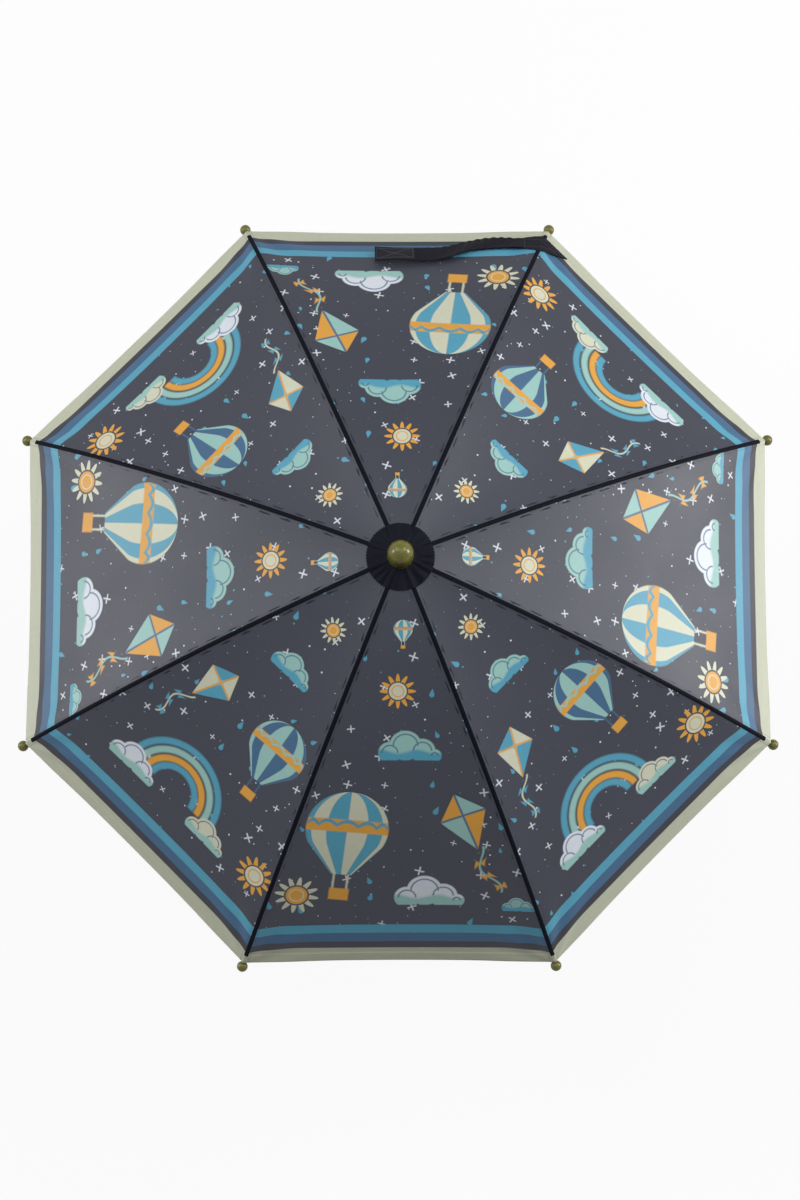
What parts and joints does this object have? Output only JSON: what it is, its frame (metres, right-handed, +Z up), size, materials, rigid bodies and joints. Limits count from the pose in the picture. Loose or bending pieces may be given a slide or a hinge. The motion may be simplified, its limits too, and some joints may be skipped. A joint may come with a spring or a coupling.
{
  "type": "umbrella",
  "caption": "Children's stick umbrella with a domed cloth canopy, hinged ribs and stretchers, sliding runner, spring catches, ball tips, domed finial and crook handle.",
  "frame": {"origin": "middle of the straight hand grip, on the shaft's axis", "axes": "+Z runs up the shaft from the grip to the finial; +X is the side that the crook turns to"},
  "size_m": [0.628, 0.628, 0.5707],
  "materials": {
    "canopy": "woven polyester, navy ground with printed motifs and hem stripes, soft satin sheen",
    "rosette": "dark woven cloth with a pinked edge",
    "strap": "dark twill tape",
    "strap_patch": "hook tape, stitched on",
    "olive_plastic": "moulded, glossy olive green",
    "black_plastic": "moulded, satin black",
    "frame_steel": "zinc plated strip",
    "shaft_steel": "plated tube",
    "bright_steel": "bright wire and pins"
  },
  "bodies": {
    "shaft_body": {"shaft": "shaft_steel", "stop_pin": "bright_steel", "top_catch_pin": "bright_steel", "bottom_catch_pin": "bright_steel", "crown": "black_plastic", "crown_wire": "bright_steel", "under_disc": "rosette", "rosette": "rosette", "finial": "olive_plastic", "hand_grip": "olive_plastic", "grip_collar": "olive_plastic"},
    "rib_1_body": {"rib_1": "frame_steel", "rib_tip_1": "olive_plastic", "rib_rivet_1": "bright_steel"},
    "stretcher_1_body": {"stretcher_1": "frame_steel"},
    "rib_2_body": {"rib_2": "frame_steel", "rib_tip_2": "olive_plastic", "rib_rivet_2": "bright_steel"},
    "stretcher_2_body": {"stretcher_2": "frame_steel"},
    "rib_3_body": {"rib_3": "frame_steel", "rib_tip_3": "olive_plastic", "rib_rivet_3": "bright_steel"},
    "stretcher_3_body": {"stretcher_3": "frame_steel"},
    "rib_4_body": {"rib_4": "frame_steel", "rib_tip_4": "olive_plastic", "rib_rivet_4": "bright_steel"},
    "stretcher_4_body": {"stretcher_4": "frame_steel"},
    "rib_5_body": {"rib_5": "frame_steel", "rib_tip_5": "olive_plastic", "rib_rivet_5": "bright_steel"},
    "stretcher_5_body": {"stretcher_5": "frame_steel"},
    "rib_6_body": {"rib_6": "frame_steel", "rib_tip_6": "olive_plastic", "rib_rivet_6": "bright_steel"},
    "stretcher_6_body": {"stretcher_6": "frame_steel"},
    "rib_7_body": {"rib_7": "frame_steel", "rib_tip_7": "olive_plastic", "rib_rivet_7": "bright_steel"},
    "stretcher_7_body": {"stretcher_7": "frame_steel"},
    "rib_8_body": {"rib_8": "frame_steel", "rib_tip_8": "olive_plastic", "rib_rivet_8": "bright_steel"},
    "stretcher_8_body": {"stretcher_8": "frame_steel"},
    "runner_body": {"runner": "black_plastic", "runner_wire": "bright_steel"},
    "panel_1_body": {"canopy_panel_1": "canopy"},
    "panel_2_body": {"canopy_panel_2": "canopy"},
    "panel_3_body": {"canopy_panel_3": "canopy"},
    "panel_4_body": {"canopy_panel_4": "canopy"},
    "panel_5_body": {"canopy_panel_5": "canopy"},
    "panel_6_body": {"canopy_panel_6": "canopy"},
    "panel_7_body": {"canopy_panel_7": "canopy"},
    "panel_8_body": {"canopy_panel_8": "canopy"},
    "top_catch_body": {"top_catch": "bright_steel"},
    "bottom_catch_body": {"bottom_catch": "bright_steel"},
    "strap_body": {"tie_strap": "strap", "tie_strap_patch": "strap_patch"}
  },
  "joints": [
    {"name": "rib_1_fold", "type": "hinge", "parent": "shaft_body", "child": "rib_1_body", "pos_m": [0.00647, 0.00268, 0.46734], "axis": [-0.3827, 0.9239, 0], "range_deg": [0, 59.8], "deforming": ["top_catch", "bottom_catch"]},
    {"name": "stretcher_1_turn", "type": "hinge", "parent": "rib_1_body", "child": "stretcher_1_body", "pos_m": [0.17027, 0.07053, 0.40186], "axis": [-0.3827, 0.9239, 0], "range_deg": [-119.6, 0]},
    {"name": "rib_2_fold", "type": "hinge", "parent": "shaft_body", "child": "rib_2_body", "pos_m": [0.00268, 0.00647, 0.46734], "axis": [-0.9239, 0.3827, 0], "range_deg": [0, 59.8]},
    {"name": "stretcher_2_turn", "type": "hinge", "parent": "rib_2_body", "child": "stretcher_2_body", "pos_m": [0.07053, 0.17027, 0.40186], "axis": [-0.9239, 0.3827, 0], "range_deg": [-119.6, 0]},
    {"name": "rib_3_fold", "type": "hinge", "parent": "shaft_body", "child": "rib_3_body", "pos_m": [-0.00268, 0.00647, 0.46734], "axis": [-0.9239, -0.3827, 0], "range_deg": [0, 59.8]},
    {"name": "stretcher_3_turn", "type": "hinge", "parent": "rib_3_body", "child": "stretcher_3_body", "pos_m": [-0.07053, 0.17027, 0.40186], "axis": [-0.9239, -0.3827, 0], "range_deg": [-119.6, 0]},
    {"name": "rib_4_fold", "type": "hinge", "parent": "shaft_body", "child": "rib_4_body", "pos_m": [-0.00647, 0.00268, 0.46734], "axis": [-0.3827, -0.9239, 0], "range_deg": [0, 59.8]},
    {"name": "stretcher_4_turn", "type": "hinge", "parent": "rib_4_body", "child": "stretcher_4_body", "pos_m": [-0.17027, 0.07053, 0.40186], "axis": [-0.3827, -0.9239, 0], "range_deg": [-119.6, 0]},
    {"name": "rib_5_fold", "type": "hinge", "parent": "shaft_body", "child": "rib_5_body", "pos_m": [-0.00647, -0.00268, 0.46734], "axis": [0.3827, -0.9239, 0], "range_deg": [0, 59.8]},
    {"name": "stretcher_5_turn", "type": "hinge", "parent": "rib_5_body", "child": "stretcher_5_body", "pos_m": [-0.17027, -0.07053, 0.40186], "axis": [0.3827, -0.9239, 0], "range_deg": [-119.6, 0]},
    {"name": "rib_6_fold", "type": "hinge", "parent": "shaft_body", "child": "rib_6_body", "pos_m": [-0.00268, -0.00647, 0.46734], "axis": [0.9239, -0.3827, 0], "range_deg": [0, 59.8]},
    {"name": "stretcher_6_turn", "type": "hinge", "parent": "rib_6_body", "child": "stretcher_6_body", "pos_m": [-0.07053, -0.17027, 0.40186], "axis": [0.9239, -0.3827, 0], "range_deg": [-119.6, 0]},
    {"name": "rib_7_fold", "type": "hinge", "parent": "shaft_body", "child": "rib_7_body", "pos_m": [0.00268, -0.00647, 0.46734], "axis": [0.9239, 0.3827, 0], "range_deg": [0, 59.8]},
    {"name": "stretcher_7_turn", "type": "hinge", "parent": "rib_7_body", "child": "stretcher_7_body", "pos_m": [0.07053, -0.17027, 0.40186], "axis": [0.9239, 0.3827, 0], "range_deg": [-119.6, 0]},
    {"name": "rib_8_fold", "type": "hinge", "parent": "shaft_body", "child": "rib_8_body", "pos_m": [0.00647, -0.00268, 0.46734], "axis": [0.3827, 0.9239, 0], "range_deg": [0, 59.8]},
    {"name": "stretcher_8_turn", "type": "hinge", "parent": "rib_8_body", "child": "stretcher_8_body", "pos_m": [0.17027, -0.07053, 0.40186], "axis": [0.3827, 0.9239, 0], "range_deg": [-119.6, 0]},
    {"name": "runner_turn", "type": "hinge", "parent": "stretcher_1_body", "child": "runner_body", "pos_m": [0.00647, 0.00268, 0.33638], "axis": [-0.3827, 0.9239, 0], "range_deg": [0, 59.8]},
    {"name": "panel_1_fold", "type": "hinge", "parent": "shaft_body", "child": "panel_1_body", "pos_m": [0.00457, 0.00457, 0.46734], "axis": [-0.7071, 0.7071, 0], "range_deg": [0, 57.3], "deforming": ["canopy_panel_1"]},
    {"name": "panel_2_fold", "type": "hinge", "parent": "shaft_body", "child": "panel_2_body", "pos_m": [0, 0.00647, 0.46734], "axis": [-1, 0, 0], "range_deg": [0, 57.3], "deforming": ["canopy_panel_2"]},
    {"name": "panel_3_fold", "type": "hinge", "parent": "shaft_body", "child": "panel_3_body", "pos_m": [-0.00457, 0.00457, 0.46734], "axis": [-0.7071, -0.7071, 0], "range_deg": [0, 57.3], "deforming": ["canopy_panel_3"]},
    {"name": "panel_4_fold", "type": "hinge", "parent": "shaft_body", "child": "panel_4_body", "pos_m": [-0.00647, 0, 0.46734], "axis": [0, -1, 0], "range_deg": [0, 57.3], "deforming": ["canopy_panel_4"]},
    {"name": "panel_5_fold", "type": "hinge", "parent": "shaft_body", "child": "panel_5_body", "pos_m": [-0.00457, -0.00457, 0.46734], "axis": [0.7071, -0.7071, 0], "range_deg": [0, 57.3], "deforming": ["canopy_panel_5"]},
    {"name": "panel_6_fold", "type": "hinge", "parent": "shaft_body", "child": "panel_6_body", "pos_m": [0, -0.00647, 0.46734], "axis": [1, 0, 0], "range_deg": [0, 57.3], "deforming": ["canopy_panel_6"]},
    {"name": "panel_7_fold", "type": "hinge", "parent": "shaft_body", "child": "panel_7_body", "pos_m": [0.00457, -0.00457, 0.46734], "axis": [0.7071, 0.7071, 0], "range_deg": [0, 57.3], "deforming": ["canopy_panel_7"]},
    {"name": "panel_8_fold", "type": "hinge", "parent": "shaft_body", "child": "panel_8_body", "pos_m": [0.00647, 0, 0.46734], "axis": [0, 1, 0], "range_deg": [0, 57.3], "deforming": ["canopy_panel_8"]},
    {"name": "top_catch_press", "type": "hinge", "parent": "shaft_body", "child": "top_catch_body", "pos_m": [0, 0, 0.28588], "axis": [0, -1, 0], "range_deg": [0, 4.4], "stiffness_Nm_per_rad": 0.8, "springref_deg": -2.86},
    {"name": "bottom_catch_press", "type": "hinge", "parent": "shaft_body", "child": "bottom_catch_body", "pos_m": [0, 0, 0.1025], "axis": [0, 1, 0], "range_deg": [0, 4.4], "stiffness_Nm_per_rad": 0.8, "springref_deg": -2.86},
    {"name": "strap_lift", "type": "hinge", "parent": "rib_2_body", "child": "strap_body", "pos_m": [0.12053, 0.29582, 0.30743], "axis": [-0.1805, 0.6925, -0.6984], "range_deg": [0, 90], "deforming": ["tie_strap", "tie_strap_patch"]}
  ],
  "couplings": [
    {"joint": "stretcher_1_turn", "follows": "rib_1_fold", "ratio": -2},
    {"joint": "rib_2_fold", "follows": "rib_1_fold", "ratio": 1},
    {"joint": "stretcher_2_turn", "follows": "rib_1_fold", "ratio": -2},
    {"joint": "rib_3_fold", "follows": "rib_1_fold", "ratio": 1},
    {"joint": "stretcher_3_turn", "follows": "rib_1_fold", "ratio": -2},
    {"joint": "rib_4_fold", "follows": "rib_1_fold", "ratio": 1},
    {"joint": "stretcher_4_turn", "follows": "rib_1_fold", "ratio": -2},
    {"joint": "rib_5_fold", "follows": "rib_1_fold", "ratio": 1},
    {"joint": "stretcher_5_turn", "follows": "rib_1_fold", "ratio": -2},
    {"joint": "rib_6_fold", "follows": "rib_1_fold", "ratio": 1},
    {"joint": "stretcher_6_turn", "follows": "rib_1_fold", "ratio": -2},
    {"joint": "rib_7_fold", "follows": "rib_1_fold", "ratio": 1},
    {"joint": "stretcher_7_turn", "follows": "rib_1_fold", "ratio": -2},
    {"joint": "rib_8_fold", "follows": "rib_1_fold", "ratio": 1},
    {"joint": "stretcher_8_turn", "follows": "rib_1_fold", "ratio": -2},
    {"joint": "runner_turn", "follows": "rib_1_fold", "ratio": 1},
    {"joint": "panel_1_fold", "follows": "rib_1_fold", "ratio": 0.958},
    {"joint": "panel_2_fold", "follows": "rib_1_fold", "ratio": 0.958},
    {"joint": "panel_3_fold", "follows": "rib_1_fold", "ratio": 0.958},
    {"joint": "panel_4_fold", "follows": "rib_1_fold", "ratio": 0.958},
    {"joint": "panel_5_fold", "follows": "rib_1_fold", "ratio": 0.958},
    {"joint": "panel_6_fold", "follows": "rib_1_fold", "ratio": 0.958},
    {"joint": "panel_7_fold", "follows": "rib_1_fold", "ratio": 0.958},
    {"joint": "panel_8_fold", "follows": "rib_1_fold", "ratio": 0.958}
  ]
}
